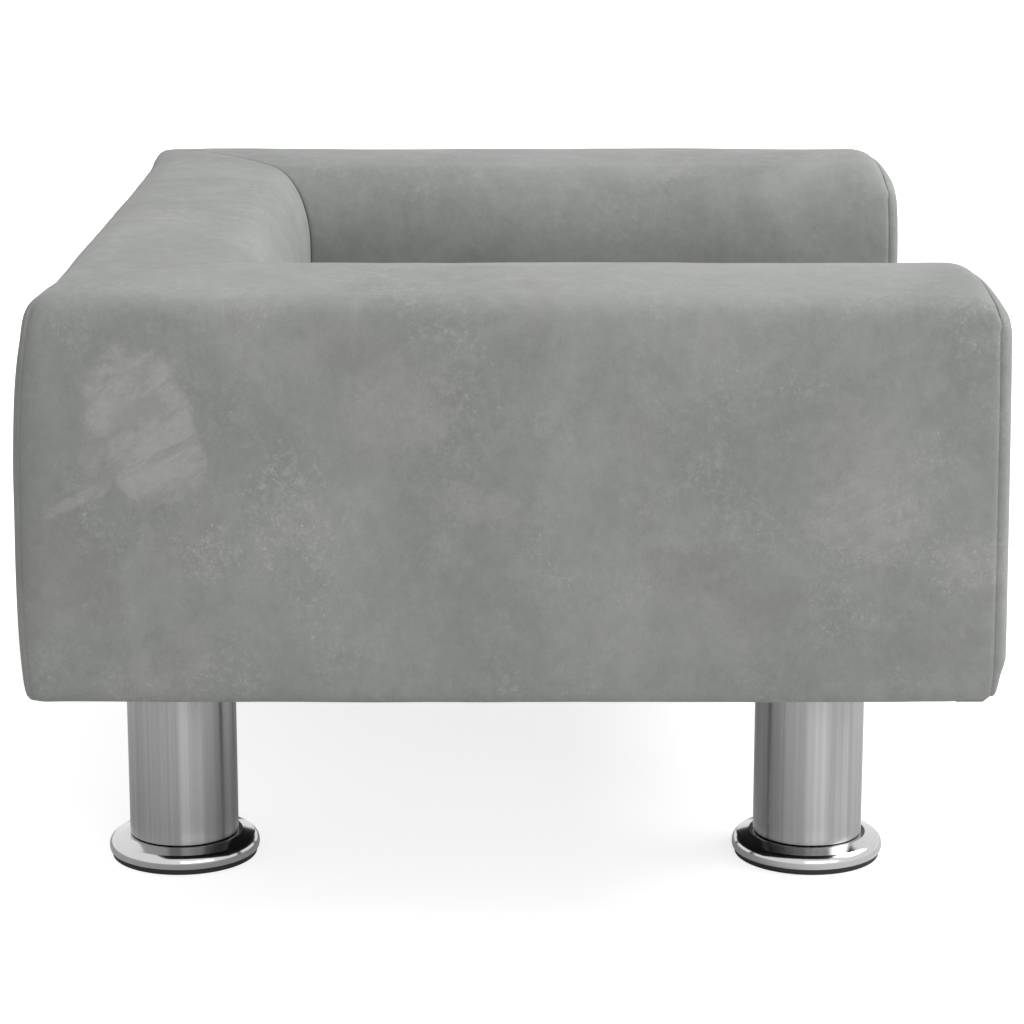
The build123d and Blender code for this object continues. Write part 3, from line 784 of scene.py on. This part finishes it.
back = grid_piece("back_upholstery", back_grid(), MATERIALS["velvet"])
settle(back, "frame", "velvet", "back_cover", "back_padding")

apron = grid_piece("front_apron", apron_grid(), MATERIALS["velvet"])
settle(apron, "frame", "velvet", "apron_cover", "apron_padding")


# Seat cushion
PAD_INSET = 0.004
PAD_LIFT = 0.001
PAD_TOP = 0.043
PAD_CORNER = 0.022
PAD_EDGE = 0.006
PAD_VOXEL = 0.0045
PAD_PRESSURE = 4.0
PAD_SWELL = 0.018
PAD_CROWN = 0.013
PAD_ABOVE_DECK = 0.0003
PAD_ABOVE_SOLID = 0.001
RIM_HEIGHT = 0.0445
RIM_DIP = 0.003
RIM_BLEND = 0.012
RIM_SHARE = 0.6
SEAM_BELOW_RIM = 0.002
SEAM_ABOVE_BASE = 0.005
EDGE_SEAM_DEPTH = 0.0022
WRINKLE = 0.0007


def rise(edge):
    """How much higher one end of an edge lies than the other."""
    return abs(edge.verts[0].co.z - edge.verts[1].co.z)


def rounded_box(name, low, high, corner, edge):
    """A closed box with rounded corners, as the start of a pad."""
    form = bmesh.new()
    bmesh.ops.create_cube(form, size=1)
    for vertex in form.verts:
        vertex.co = [low[k] + (vertex.co[k] + 0.5) * (high[k] - low[k]) for k in range(3)]
    upright = [e for e in form.edges if rise(e) > edge]
    bmesh.ops.bevel(form, geom=upright, offset=corner, segments=8, profile=0.5, affect="EDGES")
    level = [e for e in form.edges if rise(e) < 1e-6 and e.calc_face_angle(0) > 1]
    bmesh.ops.bevel(form, geom=level, offset=edge, segments=4, profile=0.5, affect="EDGES")
    mesh = bpy.data.meshes.new(name)
    form.to_mesh(mesh)
    form.free()
    piece = bpy.data.objects.new(name, mesh)
    bpy.context.scene.collection.objects.link(piece)
    return piece


def baked(piece):
    """Replaces a piece's mesh by what its modifiers make of it."""
    evaluated = piece.evaluated_get(bpy.context.evaluated_depsgraph_get())
    made = bpy.data.meshes.new_from_object(evaluated)
    old = piece.data
    piece.modifiers.clear()
    piece.data = made
    bpy.data.meshes.remove(old)


def places(mesh):
    """The places of a mesh's vertices as an array."""
    flat = np.zeros(len(mesh.vertices) * 3)
    mesh.vertices.foreach_get("co", flat)
    return flat.reshape(-1, 3)


def inflate(piece, pressure, most, frames=20):
    """Swells a closed pad as pressed cloth, each point by no more than a distance."""
    rest = places(piece.data)
    cloth = piece.modifiers.new("cloth", "CLOTH")
    settings = cloth.settings
    settings.quality = 6
    settings.mass = 0.3
    settings.tension_stiffness = 12
    settings.compression_stiffness = 12
    settings.shear_stiffness = 6
    settings.bending_stiffness = 0.6
    settings.use_pressure = True
    settings.uniform_pressure_force = pressure
    settings.effector_weights.gravity = 0
    cloth.collision_settings.use_collision = False
    cloth.point_cache.frame_start = 1
    cloth.point_cache.frame_end = frames
    for step in range(1, frames + 1):
        bpy.context.scene.frame_set(step)
    baked(piece)
    bpy.context.scene.frame_set(1)
    move = places(piece.data) - rest
    length = np.linalg.norm(move, axis=1)
    share = most * np.tanh(length / most) / np.maximum(length, 1e-9)
    piece.data.vertices.foreach_set("co", (rest + move * share[:, None]).ravel())


cushion = rounded_box(
    "seat_cushion",
    (cushion_low.x + PAD_INSET, cushion_low.y + PAD_INSET, cushion_low.z + PAD_LIFT),
    (cushion_high.x - PAD_INSET, cushion_high.y - PAD_INSET, cushion_low.z + PAD_TOP),
    PAD_CORNER,
    PAD_EDGE,
)
remesh = cushion.modifiers.new("remesh", "REMESH")
remesh.mode = "VOXEL"
remesh.voxel_size = PAD_VOXEL
baked(cushion)
inflate(cushion, PAD_PRESSURE, PAD_SWELL)
subdivide = cushion.modifiers.new("subdivide", "SUBSURF")
subdivide.levels = 1
subdivide.render_levels = 1
baked(cushion)

# Crowns the pad, keeps it in the solid's box apart from its top, and draws in its two edge seams
co = places(cushion.data)
middle = np.array([0, (cushion_low.y + cushion_high.y) / 2])
half = np.array([cushion_high.x, (cushion_high.y - cushion_low.y) / 2])
share = (co[:, :2] - middle) / half
inside = np.clip(1 - np.abs(share) ** 2.4, 0, 1)
crown = PAD_CROWN * np.sqrt(inside[:, 0] * inside[:, 1])
rim = cushion_low.z + RIM_HEIGHT - RIM_DIP * share[:, 1] ** 2
above = smooth(rim - RIM_BLEND, rim, co[:, 2])
wanted = np.maximum(rim + crown, co[:, 2])
co[:, 2] += above * RIM_SHARE * (wanted - co[:, 2])
lowest = cushion_low.z + PAD_ABOVE_DECK
co[:, 2] = np.clip(co[:, 2], lowest, cushion_high.z + PAD_ABOVE_SOLID)
co[:, :2] = middle + np.clip(share, -0.999, 0.999) * half
outer = smooth(0.86, 0.95, np.abs(share).max(axis=1))
for seam_height in (rim - SEAM_BELOW_RIM, cushion_low.z + SEAM_ABOVE_BASE):
    groove = EDGE_SEAM_DEPTH * np.exp(-((co[:, 2] - seam_height) / EDGE_SEAM_DEPTH) ** 2) * outer
    co[:, :2] -= np.sign(share) * (groove[:, None] * (np.abs(share) > 0.90))
wrinkle = np.array([noise.noise(Vector((p[0] * 26, p[1] * 26, p[2] * 40))) for p in co])
co[:, 2] += WRINKLE * wrinkle * above
cushion.data.vertices.foreach_set("co", co.ravel())
cushion.data.update()
cushion.data.shade_smooth()
cushion.data.materials.clear()
cushion.data.materials.append(MATERIALS["velvet"])
rear_face = BVHTree.FromPolygons(co.tolist(), [list(p.vertices) for p in cushion.data.polygons])
settle(cushion, "seat_cushion", "velvet", "cushion_cover", "cushion_core")


# Zip in the cushion's rear face
BEHIND_CUSHION = 0.15
TAPE_ACROSS = np.array([0.0006, 0.0007, 0.0020, 0.0035, 0.0050, 0.0064, 0.0066])
TAPE_LIFT = np.array([-0.0006, 0.0003, 0.0005, 0.0006, 0.0006, 0.0005, -0.0006])
TAPE_FALLBACK = 0.002
COIL_PITCH = 0.0016
COIL_END = 0.001
COIL_WIRE = 0.00034
COIL_OFFSET = (0.0007, 0.0009)
COIL_RADII = (0.0006, 0.0012)
COIL_PHASE = 0.8


def on_rear_face(x, z):
    """How far back the cushion's rear face lies at a place."""
    hit = rear_face.ray_cast(Vector((x, BEHIND_CUSHION, z)), Vector((0, -1, 0)))[0]
    return min(hit.y, cushion_high.y) if hit else cushion_high.y - TAPE_FALLBACK


def tube(points, radius, sides=5):
    """Points of a thin round tube along a line that winds round the X direction."""
    along = np.gradient(points, axis=0)
    first = np.cross(along, [1, 0, 0])
    first /= np.linalg.norm(first, axis=1)[:, None]
    second = np.cross(along, first)
    second /= np.linalg.norm(second, axis=1)[:, None]
    angles = np.linspace(0, 2 * np.pi, sides, endpoint=False)[None, :, None]
    ring = np.cos(angles) * first[:, None] + np.sin(angles) * second[:, None]
    return points[:, None] + radius * ring


zip_middle = (zip_low.z + zip_high.z) / 2
zip_x = np.linspace(zip_low.x, zip_high.x, 120)
rear = np.array([on_rear_face(x, zip_middle) for x in zip_x])
vertices = []
faces = []


def add_to_zip(grid, close=False):
    """Adds a grid of points to the zip's mesh."""
    faces.extend(grid_faces(grid, close, start=len(vertices)))
    vertices.extend(grid.reshape(-1, 3))


turns = (zip_high.x - zip_low.x - 2 * COIL_END) / COIL_PITCH
angle = np.linspace(0, 2 * np.pi * turns, int(turns * 8))
line_x = np.linspace(zip_low.x + COIL_END, zip_high.x - COIL_END, len(angle))
line_y = np.interp(line_x, zip_x, rear) + COIL_OFFSET[0]
for way in (-1, 1):
    heights = zip_middle + way * TAPE_ACROSS
    band = np.zeros((len(zip_x), len(heights), 3))
    band[..., 0] = zip_x[:, None]
    band[..., 2] = heights[None, :]
    band[..., 1] = [[on_rear_face(x, z) for z in heights] for x in zip_x]
    band[..., 1] += TAPE_LIFT[None, :]
    add_to_zip(band[:, ::-way])
    wound = angle + way * COIL_PHASE
    line = np.stack([
        line_x,
        line_y + COIL_RADII[0] * np.cos(wound),
        zip_middle + way * COIL_OFFSET[1] + COIL_RADII[1] * np.sin(wound),
    ], axis=1)
    add_to_zip(tube(line, COIL_WIRE), close=True)

zip_piece = mesh_piece("seat_cushion_zip", vertices, faces, MATERIALS["zip_tape"])
settle(zip_piece, "seat_cushion", "zip_tape", "cushion_zip")


# Dust cover
DUST_STEP = 0.004
DUST_LIFT = 0.0002
DUST_SAG = 0.0012
DUST_SAG_FADE = (0.012, 0.12)
DUST_RIPPLE = (0.0004, 0.045)
DUST_RIPPLE_FADE = (0.008, 0.03)

flat = (dust_high.x - dust_low.x, dust_high.y - dust_low.y)
xs = np.linspace(dust_low.x, dust_high.x, int(flat[0] / DUST_STEP))
ys = np.linspace(dust_low.y, dust_high.y, int(flat[1] / DUST_STEP))
grid = np.zeros((len(xs), len(ys), 3))
grid[..., 0] = xs[:, None]
grid[..., 1] = ys[None, :]
inset = np.minimum(
    np.minimum(grid[..., 0] - dust_low.x, dust_high.x - grid[..., 0]),
    np.minimum(grid[..., 1] - dust_low.y, dust_high.y - grid[..., 1]),
)
sag = DUST_SAG * smooth(*DUST_SAG_FADE, inset)
ripple = DUST_RIPPLE[0] * unevenness(grid, DUST_RIPPLE[1], SEED + 12)
grid[..., 2] = dust_low.z + DUST_LIFT - sag + ripple * smooth(*DUST_RIPPLE_FADE, inset)
dust = grid_piece("underside_cloth", grid, MATERIALS["dust_cloth"], flip=True)
settle(dust, "frame", "dust_cloth", "dust_cover")


# Camera, at the photograph's place and looking down at the bed's left side
CAMERA_PLACE = (-1.4837, 0.0017, 0.4745)
CAMERA_PITCH = 13.35

camera_data = bpy.data.cameras.new("camera")
camera_data.lens = 113.0
camera_data.sensor_width = 36
camera = bpy.data.objects.new("camera", camera_data)
camera.location = CAMERA_PLACE
camera.rotation_euler = (math.radians(90 - CAMERA_PITCH), 0, math.radians(-90))
bpy.context.scene.collection.objects.link(camera)
bpy.context.scene.camera = camera


# Light, floor and world
def softbox(name, place, aim, width, height, power):
    """A rectangular area light that faces a point."""
    data = bpy.data.lights.new(name, "AREA")
    data.shape = "RECTANGLE"
    data.size = width
    data.size_y = height
    data.energy = power
    light = bpy.data.objects.new(name, data)
    light.location = place
    light.rotation_euler = (Vector(aim) - Vector(place)).to_track_quat("-Z", "Y").to_euler()
    bpy.context.scene.collection.objects.link(light)


BED_MIDDLE = (0, 0, 0.15)
softbox("overhead_light", (0.1, -3.8, 4.0), BED_MIDDLE, width=3.6, height=2.8, power=268)
softbox("front_light", (-2.4, -0.9, 0.8), BED_MIDDLE, width=2.2, height=0.62, power=20)

# The world is white where it is seen or mirrored, and dimmer as a light
WORLD_LIGHT = 0.53
world = bpy.data.worlds.new("studio")
bpy.context.scene.world = world
world.use_nodes = True
nodes = world.node_tree.nodes
links = world.node_tree.links
background = nodes["Background"]
path = nodes.new("ShaderNodeLightPath").outputs
white = path["Is Camera Ray"]
for ray in ("Is Glossy Ray", "Is Transmission Ray"):
    either = nodes.new("ShaderNodeMath")
    either.operation = "MAXIMUM"
    links.new(white, either.inputs[0])
    links.new(path[ray], either.inputs[1])
    white = either.outputs[0]
level = nodes.new("ShaderNodeMapRange")
links.new(white, level.inputs["Value"])
level.inputs["To Min"].default_value = WORLD_LIGHT
level.inputs["To Max"].default_value = 1.0
background.inputs["Color"].default_value = (1, 1, 1, 1)
links.new(level.outputs["Result"], background.inputs["Strength"])

# The floor glows a little where it is seen, so that only the bed's shadow shows on it
FLOOR_REACH = 20.0
FLOOR_GAP = 0.0003
GLOW_FADE = (0.5, 1.6)
GLOW_SEEN = 0.78
GLOW_MIRRORED = 0.16

floor_mesh = bpy.data.meshes.new("floor")
corners = [(FLOOR_REACH * x, FLOOR_REACH * y, 0) for x, y in ((-1, -1), (1, -1), (1, 1), (-1, 1))]
floor_mesh.from_pydata(corners, [], [(0, 1, 2, 3)])
floor = bpy.data.objects.new("floor", floor_mesh)
floor.location.z = cad_box[0].z - FLOOR_GAP
bpy.context.scene.collection.objects.link(floor)
tree = Tree("floor")
floor_mesh.materials.append(tree.material)
grain = tree.noise(40, 3)
tree.feed(tree.shader.inputs["Base Color"], tree.mixed(grain, grey(0.60), grey(0.62)))
tree.shader.inputs["Roughness"].default_value = 0.9
tree.shader.inputs["Specular IOR Level"].default_value = 0.1
tree.shader.inputs["Emission Color"].default_value = (1, 1, 1, 1)
path = tree.node("ShaderNodeLightPath").outputs
mirrored = tree.maths("MAXIMUM", path["Is Glossy Ray"], path["Is Transmission Ray"])
away = tree.node("ShaderNodeVectorMath", operation="LENGTH")
tree.links.new(tree.place, away.inputs[0])
distance = away.outputs["Value"]
glow = tree.ramp(distance, *GLOW_FADE, GLOW_SEEN, 1.0)
seen = tree.maths("MULTIPLY", path["Is Camera Ray"], glow)
glow = tree.ramp(distance, *GLOW_FADE, GLOW_MIRRORED, 1.0)
mirrored = tree.maths("MULTIPLY", mirrored, glow)
tree.feed(tree.shader.inputs["Emission Strength"], tree.maths("MAXIMUM", seen, mirrored))
# It is seen from above only, so that it doesn't hide the underside from a low view
one_sided = tree.node("ShaderNodeMixShader")
tree.feed(one_sided.inputs[0], tree.node("ShaderNodeNewGeometry").outputs["Backfacing"])
tree.feed(one_sided.inputs[1], tree.shader.outputs[0])
tree.feed(one_sided.inputs[2], tree.node("ShaderNodeBsdfTransparent").outputs[0])
tree.feed(tree.nodes["Material Output"].inputs["Surface"], one_sided.outputs[0])

bpy.context.scene.view_settings.view_transform = "Standard"
